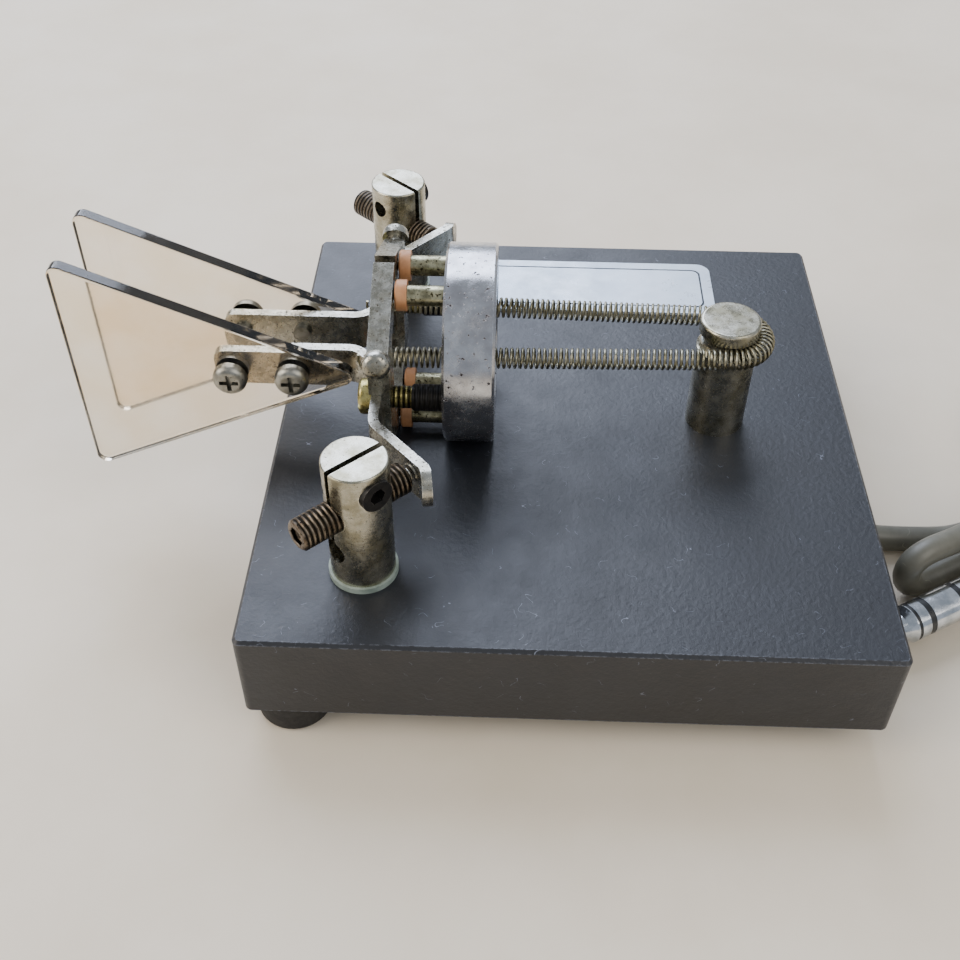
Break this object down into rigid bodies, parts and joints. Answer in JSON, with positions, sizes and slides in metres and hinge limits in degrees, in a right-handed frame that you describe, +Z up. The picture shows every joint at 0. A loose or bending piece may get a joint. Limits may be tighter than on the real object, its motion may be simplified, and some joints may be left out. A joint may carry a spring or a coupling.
{
  "type": "iambic morse key",
  "caption": "Dual-lever Morse code paddle key: heavy base, ring frame with sprung needle-pivoted levers, clear finger pieces, split contact posts and a cable with a jack plug.",
  "frame": {"origin": "centre of the key's footprint on the table, cable and plug left out", "axes": "+X from the finger pieces towards the spring post, +Y across the base, +Z up"},
  "size_m": [0.2849, 0.1292, 0.0549],
  "materials": {
    "base_paint": "satin black textured paint",
    "rubber": "matt",
    "steel_screw": "zinc plated",
    "label": "satin",
    "ring_plate": "brushed, plated, pitted",
    "pin_nickel": "tarnished nickel",
    "nylon": "aged nylon",
    "lever_plate": "pitted plating",
    "brass_screw": "tarnished nickel on brass",
    "black_screw": "black oxide",
    "acrylic": "yellowed clear acrylic",
    "post_nickel": "worn nickel on brass",
    "insulator": "moulded insulating plastic",
    "contact_steel": "browned steel",
    "silver_contact": "silver",
    "spring_steel": "spring steel",
    "tinned": "tinned brass",
    "wire_plastic": "insulated wire",
    "cable": "olive-grey PVC",
    "tie": "woven strap",
    "plug_nickel": "bright nickel",
    "plug_plastic": "black plastic"
  },
  "bodies": {
    "base": {"base_plate": "base_paint", "rubber_feet": "rubber", "foot_screws": "steel_screw", "label_plate": "label", "frame_ring": "ring_plate", "frame_screw": "steel_screw", "bearing_pins": "pin_nickel", "nylon_bearings": "nylon", "stop_studs": "black_screw", "near_contact_post": "post_nickel", "far_contact_post": "post_nickel", "clamp_screws": "black_screw", "post_insulators": "insulator", "post_washers": "insulator", "post_screws": "steel_screw", "solder_lugs": "tinned", "spring_post": "post_nickel", "spring_post_screw": "steel_screw", "tension_spring": "spring_steel", "cable_clip": "insulator", "cable_clip_screw": "steel_screw", "lead_wires": "wire_plastic", "cord_lead": "cable", "cord_tail": "cable", "cord_hank": "cable", "cord_tie": "tie", "plug_tip": "plug_nickel", "plug_ring": "plug_nickel", "plug_collar": "plug_nickel", "plug_insulators": "plug_plastic", "plug_sleeve": "plug_nickel", "plug_handle": "plug_plastic"},
    "near_lever": {"near_lever_bar": "lever_plate", "near_lever_strip": "lever_plate", "near_needles": "contact_steel", "near_corner_screw": "lever_plate", "near_finger_piece": "acrylic", "near_finger_screws": "steel_screw", "near_finger_spacers": "steel_screw", "near_lever_contact": "silver_contact"},
    "far_lever": {"far_lever_bar": "lever_plate", "far_lever_strip": "lever_plate", "far_needles": "contact_steel", "far_corner_screw": "lever_plate", "far_finger_piece": "acrylic", "far_finger_screws": "steel_screw", "far_finger_spacers": "steel_screw", "far_lever_contact": "silver_contact"},
    "near_stop": {"near_stop_screw": "brass_screw"},
    "far_stop": {"far_stop_screw": "brass_screw"},
    "near_contact": {"near_contact_screw": "contact_steel", "near_contact_tip": "silver_contact"},
    "far_contact": {"far_contact_screw": "contact_steel", "far_contact_tip": "silver_contact"}
  },
  "joints": [
    {"name": "near_lever_rock", "type": "hinge", "parent": "base", "child": "near_lever", "pos_m": [-0.01116, -0.004, 0.03682], "axis": [0, 0, 1], "range_deg": [-1, 0], "stiffness_Nm_per_rad": 0.05, "springref_deg": 16.04},
    {"name": "near_stop_screw_turn", "type": "slide", "parent": "near_lever", "child": "near_stop", "axis": [-1, 0, 0], "range_m": [0, 0.003]},
    {"name": "near_contact_screw_turn", "type": "slide", "parent": "base", "child": "near_contact", "axis": [-0.7431, -0.6691, 0], "range_m": [0, 0.004]},
    {"name": "far_lever_rock", "type": "hinge", "parent": "base", "child": "far_lever", "pos_m": [-0.01116, 0.004, 0.03682], "axis": [0, 0, 1], "range_deg": [0, 1], "stiffness_Nm_per_rad": 0.05, "springref_deg": -16.04},
    {"name": "far_stop_screw_turn", "type": "slide", "parent": "far_lever", "child": "far_stop", "axis": [-1, 0, 0], "range_m": [0, 0.003]},
    {"name": "far_contact_screw_turn", "type": "slide", "parent": "base", "child": "far_contact", "axis": [-0.7431, 0.6691, 0], "range_m": [0, 0.004]}
  ]
}
